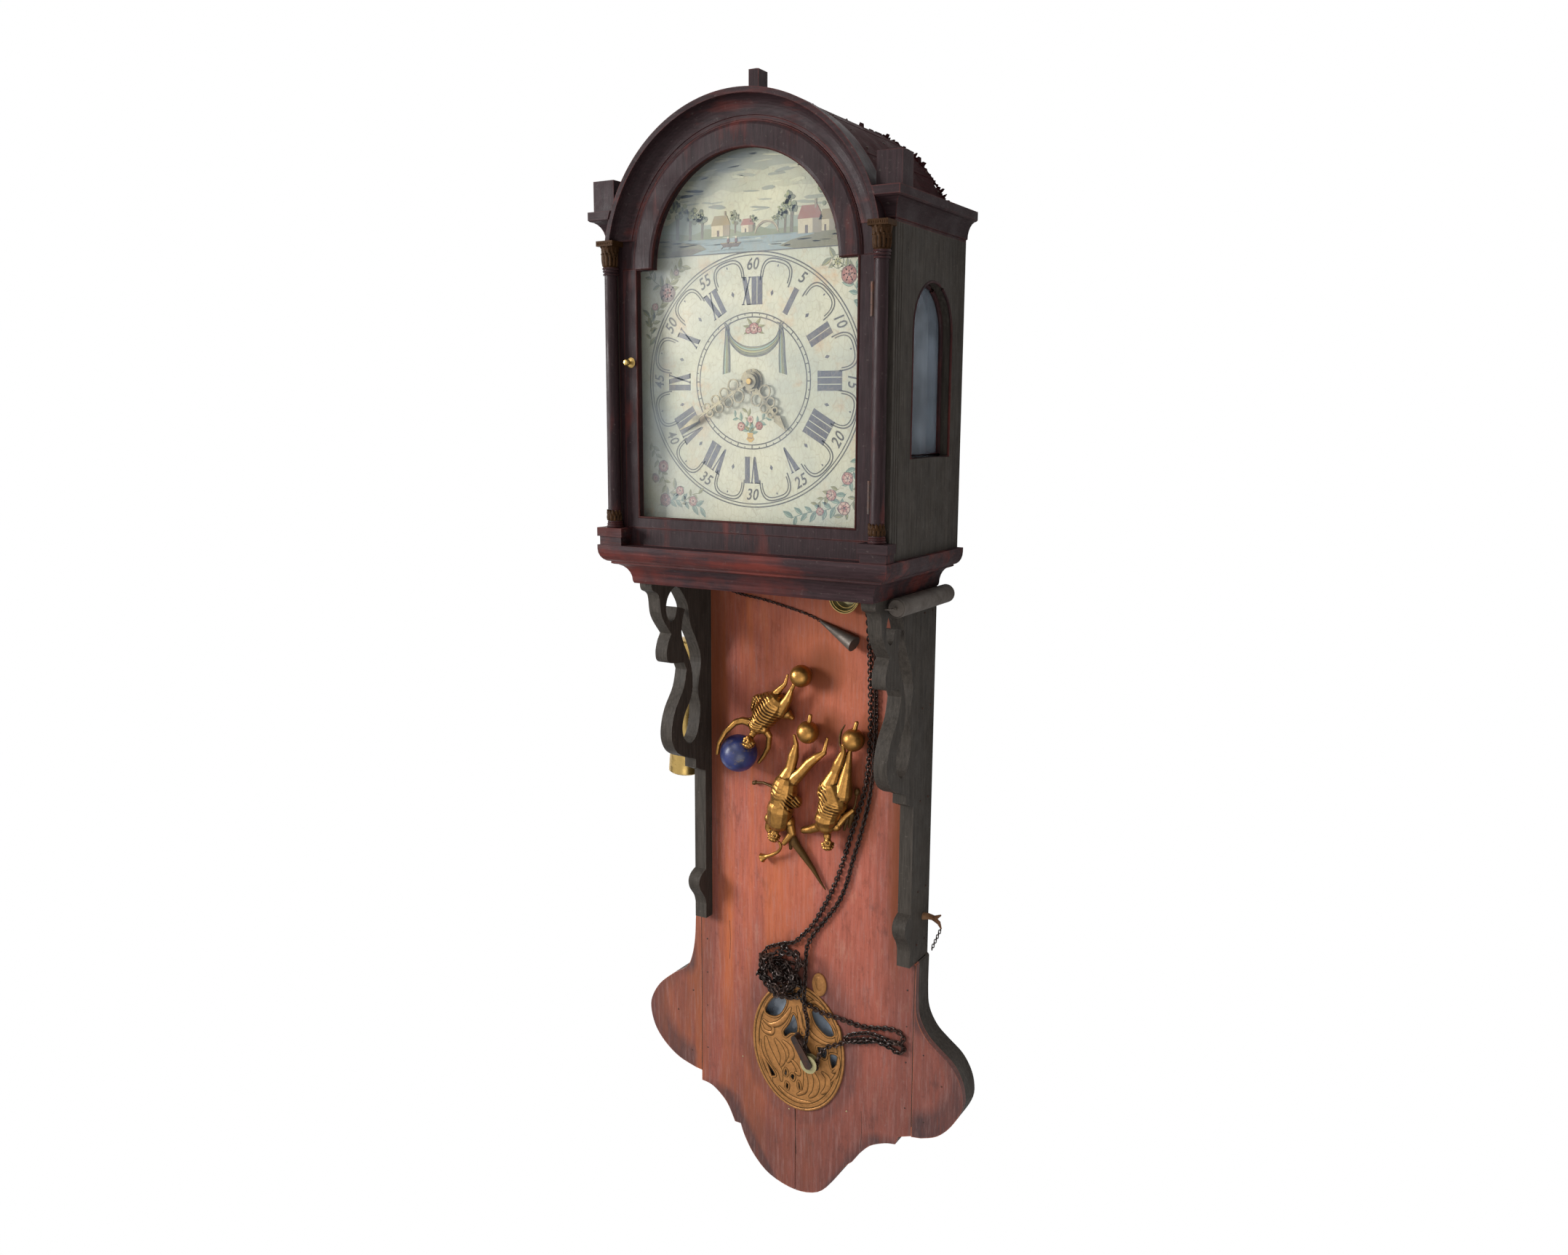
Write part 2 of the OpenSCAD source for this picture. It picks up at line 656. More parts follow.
// Two hinges: the frame has the pin and the outer knuckles, the door the middle one
leaf_z = door_back + 3;
leaf_t = 1.2;
mid_half = hinge_len / 6 - 0.2;
module frame_hinges() color(iron) for (y = [-hinge_low, hinge_up]) {
  upright(hinge_x, y - hinge_len / 2, hinge_z) cylinder(r = pin_r, h = hinge_len);
  for (y0 = [y - hinge_len / 2, y + hinge_len / 6]) {
    upright(hinge_x, y0, hinge_z) cylinder(r = knuckle_r, h = hinge_len / 3);
    slab(door_half_w + door_gap, door_half_w + door_gap + leaf_t,
      y0, y0 + hinge_len / 3, leaf_z, hinge_z);
  }
}
module door_hinges() color(iron) for (y = [-hinge_low, hinge_up]) difference() {
  union() {
    upright(hinge_x, y - mid_half, hinge_z) cylinder(r = knuckle_r, h = 2 * mid_half);
    slab(door_half_w - leaf_t, door_half_w, y - mid_half, y + mid_half, leaf_z, hinge_z);
  }
  upright(hinge_x, y - hinge_len / 2, hinge_z) cylinder(r = pin_r + run, h = hinge_len);
}

// Moulding round the arch, turned about the arch's own axis
module arch_moulding() color(wood_dark) {
  inner = arch_door_r + door_gap + slip;
  wide = arch_r - inner;
  section = concat([[inner, frame_z], [inner, frame_z + 0.4], [inner + 3, frame_z + 0.8]],
    [for (i = [0:8]) [inner + 3.5 + (wide - 9) * sin(90 * i / 8),
      frame_z + 1.6 + (arch_proud - 3.6) * (1 - cos(90 * i / 8))]],
    [[arch_r - 5, arch_front], [arch_r, arch_front], [arch_r, frame_z]]);
  translate([0, arch_y, 0]) intersection() {
    rotate_extrude($fn = 128) polygon(section);
    translate([-arch_r - over, hood_top_y - arch_y, 0])
      cube([2 * (arch_r + over), arch_r + over, arch_front + over]);
  }
}
// Barrel roof of thin boards; its rear rim is broken in places
module roof_boards() color("#4a1f1c") {
  translate([0, arch_y, 0]) difference() {
    cylinder(r = roof_out_r, h = frame_back, $fn = 128);
    translate([0, 0, -over]) cylinder(r = roof_in_r, h = frame_back + 2 * over, $fn = 128);
    translate([-arch_r, -arch_r, -over])
      cube([2 * arch_r, arch_r + hood_top_y - arch_y, frame_back + 2 * over]);
    for (q = rim_breaks) rotate(q[0]) translate([roof_in_r - over, -q[1] / 2, -over])
      cube([roof_t + 2 * over, q[1], q[2] + over]);
  }
}
// Angle, width and depth of each break in the rear rim
rim_breaks = [[24, 5, 4], [33, 7, 9], [47, 5, 6], [60, 6, 10], [74, 5, 5], [118, 6, 7], [140, 7, 5]];

// Cornice in two returns, one each side of the arch
module cornice() color(wood_dark) {
  difference() {
    moulded_block(cornice_steps, hood_top_y, cornice_h,
      hood_half_w, cornice_side, frame_z, cornice_front);
    slab(-cornice_in, cornice_in, hood_top_y - over, cornice_top + over, -over, frame_back);
    translate([0, arch_y, frame_back - over])
      cylinder(r = arch_r + slip, h = cornice_front + frame_t + 3 * over, $fn = 128);
  }
}
// Blocks on the cornice, bored for the finial pegs
module corner_blocks() color(wood_dark) {
  x_out = hood_half_w + cornice_side - 1.5;
  z_out = frame_z + 9;
  for (s = [-1, 1]) difference() {
    slab(s > 0 ? x_out - block_w : -x_out, s > 0 ? x_out : block_w - x_out,
      cornice_top, cornice_top + block_h, z_out - block_d, z_out);
    upright(s * (x_out - block_w / 2), cornice_top + block_h - socket_deep, z_out - block_d / 2)
      cylinder(r = socket_r, h = socket_deep + over);
  }
}
// Peg that stands on the roof, just behind the arch moulding
module centre_peg() color(wood_dark) {
  z1 = frame_back - 8;
  difference() {
    slab(-peg_w / 2, peg_w / 2, roof_top - 2, roof_top + peg_h, z1 - peg_d, z1);
    translate([0, arch_y, z1 - peg_d - over]) cylinder(r = roof_out_r, h = peg_d + 2 * over, $fn = 128);
    // Slanted top
    translate([0, roof_top + peg_h + 0.4, z1 - peg_d - over]) rotate([0, 0, -8])
      translate([-peg_w, 0, 0]) cube([2 * peg_w, peg_w, peg_d + 2 * over]);
  }
}
// Moulding that carries the hood, open below for the chains and the pendulum
module base_moulding() color(wood_dark) {
  difference() {
    moulded_block(base_steps, -base_low, base_h, base_half_w, base_reach, base_z, base_reach);
    slab(-base_open_half, base_open_half, -base_low - over, -hood_low + over, -over, frame_back);
  }
}

// Turned columns, capitals and pedestals at the front corners
module columns() color(wood_dark) {
  len_y = cap_low + col_low;
  for (s = [-1, 1]) upright(s * col_x, -col_low, col_z) rotate_extrude()
    polygon(concat([[0, 0], [col_r, 0], [col_r, 4], [col_r - 1, 5]],
      [for (i = [0:8]) [col_r - 0.6 - 0.7 * i / 8, 6 + (len_y - 12) * i / 8]],
      [[col_r - 0.3, len_y - 4], [col_r - 0.3, len_y], [0, len_y]]));
}
abacus_h = 5;
module capitals() color("#6b3f1f") {
  for (s = [-1, 1]) {
    difference() {
      upright(s * col_x, cap_low, col_z) rotate_extrude()
        polygon(concat([[0, 0], [col_r + 0.2, 0]],
          [for (i = [0:6]) [col_r - 1 + (cap_half - col_r + 0.4) * (1 - cos(15 * i)),
            2 + (cap_h - abacus_h - 1.5) * i / 6]],
          [[0, cap_h - abacus_h + 0.5]]));
      slab(s * col_x - ped_w, s * col_x + ped_w, cap_low, hood_top_y, frame_back, frame_z);
    }
    slab(s * col_x - cap_half, s * col_x + cap_half,
      hood_top_y - abacus_h, hood_top_y, frame_z, col_z + cap_half);
  }
}
module pedestals() color(wood_dark) {
  for (s = [-1, 1]) {
    slab(s * col_x - ped_w / 2 + 2, s * col_x + ped_w / 2 - 2,
      -hood_low, -hood_low + ped_h / 2, frame_z, frame_z + ped_d - 2);
    slab(s * col_x - ped_w / 2, s * col_x + ped_w / 2,
      -hood_low + ped_h / 2, -col_low, frame_z, frame_z + ped_d);
  }
}

// Glazed door, hinged at the right
module glass_2d(grow) {
  translate([-glass_half_w - grow, -glass_low - grow])
    square([2 * (glass_half_w + grow), glass_low + arch_y - 1 + 2 * grow]);
  translate([0, arch_y]) circle(arch_glass_r + grow);
}
// The pane and its rebate keep inside the door's edge
module pane_2d(grow) intersection() {
  glass_2d(grow);
  door_2d(-1.5);
}
module door_frame() color(wood_dark) {
  difference() {
    union() {
      translate([0, 0, door_back]) linear_extrude(door_t) door_2d(0);
      // Raised ring of the arch
      translate([0, arch_y, 0]) intersection() {
        rotate_extrude($fn = 128)
          polygon([[arch_glass_r, door_front - 1], [arch_glass_r, door_front + 1.2],
            [arch_glass_r + 3, door_front + 2], [arch_door_r - 4, door_front + 2],
            [arch_door_r - 1, door_front + 0.6], [arch_door_r - 1, door_front - 1]]);
        translate([-arch_r, 0, 0]) cube([2 * arch_r, arch_r, 2 * frame_z]);
      }
    }
    translate([0, 0, door_back - over]) linear_extrude(door_t + 5) glass_2d(0);
    translate([0, 0, door_back - over]) linear_extrude(2 * pane_t + over) pane_2d(pane_lap);
    door_hinges();
  }
}
module door_glass() color(glass) translate([0, 0, door_back + pane_t]) linear_extrude(pane_t)
  pane_2d(pane_lap - slip);
// Small brass knob on the closing stile
module door_knob() color(brass) {
  knob_x = (door_half_w + glass_half_w) / 2;
  knob_y = 19;
  translate([-knob_x, knob_y, door_front]) rotate_extrude()
    polygon([[0, 0], [4, 0], [4, 0.8], [1.6, 1.4], [1.6, 4], [3.2, 5.5], [3.4, 7.5], [2.4, 9], [0, 9.6]]);
}

// Painted iron dial on four feet
module dial_plate() color("#d9d3b4") {
  difference() {
    union() {
      translate([0, 0, dial_z - dial_t]) linear_extrude(dial_t) {
        translate([-dial_half_w, -dial_low]) square([2 * dial_half_w, dial_low + arch_y]);
        translate([0, arch_y]) circle(dial_arch_r);
      }
      for (x = [-38, 38]) for (y = [plate_top + plate_t / 2, -plate_low + plate_t / 2])
        translate([x, y, bars_top]) cylinder(r = plate_t / 2, h = dial_z - bars_top - dial_t / 2);
    }
    translate([0, 0, dial_z - dial_t - over]) cylinder(r = hour_out + 2, h = dial_t + 2 * over);
  }
}

// Board that the movement stands on, fixed to the back board
module seat_board() color(wood_red) {
  difference() {
    slab(-side_in + 6, side_in - 6, seat_low, seat_top, back_t, bars_top + 4);
    // Way for the pendulum rod
    slab(-24, 24, seat_low - over, seat_top + over, back_t - over, pend_z + rod_r + 6);
    // Ways for the chains
    for (x = [-sprocket_run, sprocket_run])
      upright(x, seat_low - over, chain_z) cylinder(r = chain_hole_r, h = seat_t + 2 * over);
  }
}

// Posted movement frame: two plates, four posts and three upright bars
module movement_frame() color(iron) {
  for (y = [-plate_low, plate_top])
    difference() {
      slab(-plate_half_w, plate_half_w, y, y + plate_t, back_bar_z, bars_top);
      if (y < 0) for (x = [-sprocket_run, sprocket_run])
        upright(x, y - over, chain_z) cylinder(r = chain_hole_r, h = plate_t + 2 * over);
    }
  for (x = [-1, 1]) for (z = [back_bar_z + 7, bars_top - 7])
    upright(x * (plate_half_w - 6), -plate_low + plate_t, z)
      cylinder(r = 4, h = plate_top + plate_low - plate_t);
  for (z = [back_bar_z, mid_bar_z, front_bar_z]) difference() {
    slab(-bar_half_w, bar_half_w, -plate_low + plate_t, plate_top, z, z + bar_t);
    translate([0, pivot_y, z - over]) cylinder(r = arbor_r + run, h = bar_t + 2 * over);
    if (z > back_bar_z) for (c = [great_c, [0, 0], third_c, escape_c])
      translate([c[0], c[1], z - over]) cylinder(r = arbor_r + run, h = bar_t + 2 * over);
    if (z < front_bar_z) translate([hammer_x, hammer_y, z - over])
      cylinder(r = arbor_r + run, h = bar_t + 2 * over);
  }
  // Stud of the motion wheel
  translate([0, -motion_d, bars_top]) cylinder(r = arbor_r, h = 10);
}

// Going train between the middle and the front bar
module arbor(c, z0, z1) translate([c[0], c[1], z0]) cylinder(r = arbor_r, h = z1 - z0);
module bar_arbor(c) arbor(c, mid_bar_z + 0.5, bars_top - 0.5);
module pinion(c, turn, z, t) translate([c[0], c[1], z]) linear_extrude(t)
  pinion_2d(leaves, train_module, turn);
module great_wheel() color(brass) {
  bar_arbor(great_c);
  translate(great_c) {
    wheel(great_teeth, train_module, 90, great_z, 4, 6);
    translate([0, 0, great_z + 4]) cylinder(r = 6, h = sprocket_z - great_z - 4);
    translate([0, 0, sprocket_z]) rotate_extrude() polygon([[0, 0], [sprocket_r, 0],
      [sprocket_r - 3, sprocket_w / 2 - 1], [sprocket_r - 3, sprocket_w / 2 + 1],
      [sprocket_r, sprocket_w], [0, sprocket_w]]);
  }
}
module centre_wheel() color(brass) {
  bar_arbor([0, 0]);
  arbor([0, 0], bars_top - 2, minute_z + hand_t + 1.2);
  pinion([0, 0], -90 + 180 / leaves, great_z - pinion_over, 4 + 2 * pinion_over);
  wheel(centre_teeth, train_module, 120, centre_z, wheel_t, 6);
  translate([0, 0, minute_z + hand_t + 0.2]) cylinder(r1 = 3.4, r2 = 2.6, h = 1.4);
}
module third_wheel() color(brass) {
  bar_arbor(third_c);
  pinion(third_c, -60 + 180 / leaves, centre_z - pinion_over, wheel_t + 2 * pinion_over);
  translate(third_c) wheel(third_teeth, train_module, third_angle, third_z, wheel_t, 5);
}
third_angle = atan2(escape_c[1] - third_c[1], escape_c[0] - third_c[0]);
module escape_wheel() color(brass) {
  bar_arbor(escape_c);
  pinion(escape_c, third_angle + 180 + 180 / leaves, third_z - pinion_over, wheel_t + 2 * pinion_over);
  translate([escape_c[0], escape_c[1], escape_z]) linear_extrude(wheel_t) difference() {
    polygon([for (i = [0:escape_teeth - 1]) each [
      (escape_r - 3) * [cos(360 * i / escape_teeth), sin(360 * i / escape_teeth)],
      escape_r * [cos(360 * (i + 0.1) / escape_teeth), sin(360 * (i + 0.1) / escape_teeth)],
      escape_r * [cos(360 * (i + 0.2) / escape_teeth), sin(360 * (i + 0.2) / escape_teeth)]]]);
    spokes_2d(escape_r - 6, 4, 4, 3);
  }
}
// Anchor on its long arbor, with the crutch that takes the pendulum rod between two tines
crutch_z = pend_z + rod_r + 9;
crutch_low = 12;
module anchor() color(iron) {
  reach = pivot_y - escape_c[1];
  arbor([0, pivot_y], crutch_z, bars_top - 0.5);
  translate([0, pivot_y, escape_z]) linear_extrude(wheel_t) {
    circle(5);
    difference() {
      intersection() {
        translate([0, -reach]) circle(escape_r + 8);
        translate([-20, -reach + 6]) square([40, reach]);
      }
      translate([0, -reach]) circle(escape_r + 1.9);
    }
  }
  slab(-2.5, 2.5, -crutch_low, pivot_y + 4, crutch_z, crutch_z + 3);
  slab(-6, 6, -crutch_low - 6, -crutch_low, crutch_z, crutch_z + 3);
  for (s = [-1, 1]) slab(s > 0 ? rod_r + slip : -6, s > 0 ? 6 : -rod_r - slip,
    -crutch_low - 6, -crutch_low, pend_z - rod_r - 2, crutch_z);
}

// Motion work and hands; every pipe runs on the one inside it
module pipe(r_in, r_out, z0, z1) translate([0, 0, z0]) difference() {
  cylinder(r = r_out, h = z1 - z0);
  translate([0, 0, -over]) cylinder(r = r_in, h = z1 - z0 + 2 * over);
}
module small_gear(teeth, turn, z, t, hole) translate([0, 0, z]) linear_extrude(t) difference() {
  pinion_2d(teeth, motion_module, turn);
  circle(hole);
}
module cannon_pipe() color(brass) {
  pipe(cannon_in, cannon_out, bars_top + 1, minute_z);
  small_gear(cannon_teeth, -90, motion_z - 0.5, motion_t + 1, cannon_out - 0.5);
}
module motion_wheel() color(brass) translate([0, -motion_d, 0]) {
  translate([0, 0, motion_z]) linear_extrude(motion_t) difference() {
    wheel_2d(motion_teeth, motion_module, 90 + 180 / motion_teeth);
    circle(arbor_r + run);
  }
  small_gear(motion_leaves, 90, motion_z + motion_t, hour_wheel_z - motion_z, arbor_r + run);
}
module hour_wheel() color(brass) {
  pipe(hour_in, hour_out, hour_wheel_z, hour_z);
  translate([0, 0, hour_wheel_z]) linear_extrude(motion_t) difference() {
    wheel_2d(hour_teeth, motion_module, -90 + 180 / hour_teeth);
    circle(hour_out - 0.5);
  }
}
module flat_ring(r, inner) linear_extrude(hand_t) difference() {
  circle(r);
  circle(inner);
}
// Shaft of a hand with its spear point, and pairs of rings at its sides
module hand_shaft(y0, y1, half, point_half) {
  linear_extrude(hand_t) polygon([[-half, y0], [-half, y1 * 0.7], [-point_half, y1 * 0.74], [0, y1],
    [point_half, y1 * 0.74], [half, y1 * 0.7], [half, y0]]);
}
module hand_rings(rings, k, wide) {
  for (s = [-1, 1]) for (q = rings) translate([s * (k * q[1] - 0.4), k * q[0], 0])
    flat_ring(k * q[1], k * q[1] - wide);
}
module minute_hand() color(brass) translate([0, 0, minute_z]) rotate(minute_turn) {
  flat_ring(7, arbor_r + run);
  hand_shaft(6, minute_len, 1.2, 3.4);
  hand_rings([[18, 6.5], [31, 5.5], [43, 5], [55, 4]], minute_len / 96, 1.5);
}
module hour_hand() color(brass) translate([0, 0, hour_z]) rotate(hour_turn) {
  flat_ring(9, cannon_out + run);
  hand_shaft(8, hour_len, 1.5, 4.5);
  hand_rings([[17.5, 6.5], [29.5, 5], [38.5, 3.6]], hour_len / 62, 1.5);
}
module alarm_disc() color(brass) translate([0, 0, alarm_z]) linear_extrude(1) difference() {
  circle(alarm_r);
  circle(alarm_in);
}

// Bell on its stand, and the hammer that strikes its rim
strike_z = (back_bar_z + mid_bar_z + bar_t) / 2;
bell_low = plate_top + plate_t + 18;
bell_h = 34;
bell_t = 2.5;
module bell() color(brass) {
  upright(0, bell_low, strike_z) rotate_extrude()
    polygon(concat(
      [for (i = [0:8]) [bell_r * (1 - 0.85 * pow(i / 8, 3)), bell_h * i / 8]],
      [[0, bell_h], [0, bell_h - bell_t]],
      [for (i = [8:-1:0]) [(bell_r - bell_t) * (1 - 0.85 * pow(i / 8, 3)),
        bell_h * i / 8 - (i > 0 ? bell_t : 0)]]));
  upright(0, plate_top + plate_t, strike_z)
    cylinder(r = 2.5, h = bell_low - plate_top - plate_t + bell_h - bell_t / 2);
}
hammer_x = 18;
hammer_y = 78;
module hammer() color(iron) {
  head_x = bell_r + 9;
  elbow = [plate_half_w + 5, hammer_y + 10];
  arbor([hammer_x, hammer_y], back_bar_z + 0.5, mid_bar_z + bar_t - 0.5);
  translate([0, 0, strike_z - 1.5]) linear_extrude(3) {
    hull() {
      translate([hammer_x, hammer_y]) circle(4);
      translate(elbow) circle(3);
    }
    hull() {
      translate(elbow) circle(3);
      translate([elbow[0], bell_low + 4]) circle(2);
    }
  }
  translate([head_x, bell_low + 4, strike_z]) rotate([0, 90, 0]) cylinder(r = 5, h = 14, center = true);
}

// Pendulum on its stud, with the bob behind the tail's window
module suspension_stud() color(iron) translate([0, pivot_y, back_t]) {
  cylinder(r = 6, h = pend_z - 2 - slip - back_t);
  cylinder(r = arbor_r, h = pend_z + 5 - back_t);
}
module pendulum_rod() color(iron) {
  difference() {
    union() {
      translate([0, pivot_y, pend_z - 2]) cylinder(r = 5.5, h = 4);
      upright(0, bob_y - bob_r - 12, pend_z) cylinder(r = rod_r, h = pivot_y - 4 - bob_y + bob_r + 12);
      upright(0, bob_y - bob_r - 8, pend_z) cylinder(r = 5, h = 7);
    }
    translate([0, pivot_y, pend_z - 3]) cylinder(r = arbor_r + run, h = 6);
  }
}
module pendulum_bob() color(brass) {
  difference() {
    translate([0, bob_y, pend_z]) rotate_extrude()
      polygon([for (q = [[0, -1], [0.6, -1], [0.85, -0.7], [0.98, -0.25], [1, 0], [0.98, 0.25],
        [0.85, 0.7], [0.6, 1], [0, 1]]) [bob_r * q[0], bob_t / 2 * q[1]]]);
    upright(0, bob_y - bob_r - over, pend_z) cylinder(r = rod_r + run, h = 2 * bob_r + 2 * over);
  }
}

// Gilt figures, laid down loose on the tail
module limb(a, b, ra, rb) hull() {
  translate(a) sphere(ra, $fn = 14);
  translate(b) sphere(rb, $fn = 14);
}
module limbs(list) for (q = list) limb(q[0], q[1], q[2], q[3]);
foot_z = tail_z + slip;
module figure_bearer() color(gilt) {
  limbs([[[2, -308, foot_z + ball_r], [2, -308, foot_z + ball_r], ball_r, ball_r],
    [[-4, -318, 50], [-24, -334, 45], 4, 6], [[4, -318, 48], [-16, -344, 46], 4, 6],
    [[-22, -338, 46], [-40, -362, 47], 10, 11], [[-40, -362, 50], [-50, -378, 58], 8, 5],
    [[-52, -381, 64], [-53, -382, 64], 8, 8], [[-46, -356, 50], [-76, -362, 50], 5, 4],
    [[-76, -362, 50], [-94, -382, 55], 4, 3], [[-34, -370, 50], [-38, -398, 52], 5, 4],
    [[-38, -398, 52], [-48, -416, 56], 4, 3]]);
}
module blue_globe() color("#2b3a86") translate([-72, -402, foot_z + globe_r]) sphere(globe_r, $fn = 96);
module figure_trumpeter() color(gilt) {
  limbs([[[11, -369, foot_z + ball_r], [11, -369, foot_z + ball_r], ball_r, ball_r],
    [[12, -358, 47], [14, -352, 46], 2.6, 2.4],
    [[5, -381, 47], [-6, -420, 46], 5, 8], [[-4, -422, 46], [18, -400, 45], 7, 4.5],
    [[18, -400, 45], [30, -380, 42], 4, 3], [[-8, -424, 46], [-16, -460, 47], 11, 12],
    [[-18, -462, 47], [-27, -486, 49], 7, 8], [[-20, -450, 46], [-58, -440, 41], 4, 2.6],
    [[-26, -488, 48], [-38, -512, 43], 3.4, 2.4], [[-38, -512, 43], [-51, -525, 41], 2.4, 5],
    [[-16, -462, 45], [4, -500, 42], 6, 6], [[4, -500, 42], [29, -546, 37], 6, 1.4]]);
}
module figure_guardian() color(gilt) {
  limbs([[[66, -370, foot_z + ball_r], [66, -370, foot_z + ball_r], ball_r, ball_r],
    [[67, -359, 47], [69, -353, 46], 2.6, 2.4],
    [[62, -382, 47], [50, -424, 46], 5, 9], [[56, -396, 45], [57, -430, 45], 4, 8],
    [[46, -428, 46], [38, -460, 47], 11, 12], [[38, -464, 47], [37, -488, 48], 6, 8],
    [[32, -462, 46], [6, -478, 41], 6, 3.6], [[44, -456, 46], [56, -456, 41], 5, 3.4],
    [[56, -456, 41], [58, -442, 41], 3, 2.4]]);
}

// Weights and small brass pieces that lie about
module brass_weight() color(brass) {
  translate([-tail_half_w - weight_r - 3, weight_len - weight_low, weight_r])
    rotate([0, 0, -weight_lean]) upright(0, -weight_len, 0) rotate_extrude($fn = 96)
    polygon([[0, 0], [weight_r - 1.5, 0], [weight_r, 1.5], [weight_r, weight_len - 2],
      [weight_r - 2, weight_len], [6, weight_len + 3], [0, weight_len + 3]]);
}
module lead_weight() color("#6a625c") {
  translate([tail_half_w + lead_r + 2, -base_low - lead_r + 2.5, 0]) {
    rotate_extrude() polygon(concat([[0, 0]],
      [for (i = [0:6]) [lead_r - 4 + 4 * sin(15 * i), 4 - 4 * cos(15 * i)]],
      [[lead_r, lead_len - 1.5], [lead_r - 1.5, lead_len], [0, lead_len]]));
    translate([0, 0, lead_len]) cylinder(r = 1.6, h = 5);
  }
}
// The cone lies on its side, so its axis rises from the tip towards the wide end
cone_tip = [20, -248.5, thin_lie + 0.5];
cone_dir = -24;
cone_rise = asin((cone_r - thin_d / 2 - 0.5) / cone_len);
cone_way = [cos(cone_rise) * cos(cone_dir), cos(cone_rise) * sin(cone_dir), sin(cone_rise)];
module cone_weight() color("#4b4f4a") translate(cone_tip) rotate([0, 0, cone_dir])
  rotate([0, 90 - cone_rise, 0]) cylinder(r1 = thin_d / 2, r2 = cone_r - 0.4, h = cone_len);
module brass_cup() color(brass) translate([52, -218, tail_z]) rotate_extrude()
  polygon([[0, 0], [10, 0], [15.5, 4], [18, 12], [16.8, 12], [14.4, 5], [9.5, 1.3], [0, 1.3]]);

// Pulley of the driving chain, lying on the window
pulley_c = [14, -757];
pulley_z = tail_z + fret_t;
fork_to = [-4, -730];
groove_r = sheave_r - 1.6;
groove_in = groove_r - chain_r - slip;
pulley_pin_r = 1.5;
fork_t = 1.6;
wheel_z0 = pulley_z + 2;
wheel_mid = wheel_z0 + sheave_t / 2;
rim = sheave_t / 2 - chain_r - slip;
module fork_plate_2d() {
  hull() {
    translate(pulley_c) circle(5);
    translate(fork_to) circle(4);
  }
}
module pulley_fork() color(iron) {
  translate([0, 0, pulley_z]) linear_extrude(fork_t) fork_plate_2d();
  translate([0, 0, wheel_z0 + sheave_t + 0.4]) linear_extrude(fork_t) fork_plate_2d();
  translate([fork_to[0], fork_to[1], pulley_z]) cylinder(r = 3.4, h = sheave_t + 4);
  translate([pulley_c[0], pulley_c[1], pulley_z]) cylinder(r = pulley_pin_r, h = sheave_t + 4);
}
module pulley_wheel() color(brass) translate([pulley_c[0], pulley_c[1], wheel_z0]) difference() {
  rotate_extrude() polygon([[0, 0], [sheave_r, 0], [sheave_r, rim], [groove_in, rim],
    [groove_in, sheave_t - rim], [sheave_r, sheave_t - rim], [sheave_r, sheave_t], [0, sheave_t]]);
  translate([0, 0, -over]) cylinder(r = pulley_pin_r + run, h = sheave_t + 2 * over);
}

// Chains. The driving chain leaves the hood as two strands: one enters the pile, and the other
// passes beside it to the pulley. Their routes are set by hand along the tail.
module inner_chain() color(iron) {
  down = [for (s = [-1, 1]) [s * sprocket_run, seat_low, chain_z]];
  arc_points = [for (i = [0:12]) let (a = 180 - 15 * i)
    [great_c[0] + sprocket_run * cos(a), great_c[1] + sprocket_run * sin(a), chain_z]];
  tube(concat([down[0], [down[0][0], -80, chain_z], [down[0][0], -60, chain_z]], arc_points,
    [[down[1][0], -60, chain_z], [down[1][0], -80, chain_z], down[1]]), chain_r, 8);
}
// Pile of chain: one layer of loops that winds inwards and a second that winds out again
pile_c = [-25, -654];
pile_out = 25;
pile_in = 8;
pile_rings = 24;
layer_rings = 78;
pile_start = 105;
function pile_point(i) = let (layer = i < layer_rings ? 0 : 1, s = i / layer_rings - layer,
  r = layer == 0 ? pile_out - (pile_out - pile_in) * s : pile_in + (pile_out - pile_in) * s,
  climb = min(1, max(0, (i - layer_rings) / (pile_rings / 2) + 0.5)),
  a = pile_start + 360 * i / pile_rings)
  [pile_c[0] + r * cos(a), pile_c[1] + r * sin(a), lie_up + step_up * climb];
loops = [for (i = [0:2 * layer_rings]) pile_point(i)];
// Both ends run straight on for one diameter of the chain
first_way = unit(loops[1] - loops[0]);
last_way = unit(loops[2 * layer_rings] - loops[2 * layer_rings - 1]);
pile_first = loops[0] - chain_d * first_way;
pile_last = loops[2 * layer_rings] + chain_d * last_way;
pile_points = concat([pile_first], loops, [pile_last]);
pile_gap = min([for (i = [0:len(pile_points) - 11]) for (j = [i + 10:len(pile_points) - 1])
  norm(pile_points[i] - pile_points[j])]) - chain_d;
echo(pile_gap = pile_gap);
module chain_pile() color(iron) tube(pile_points, chain_r, 6);

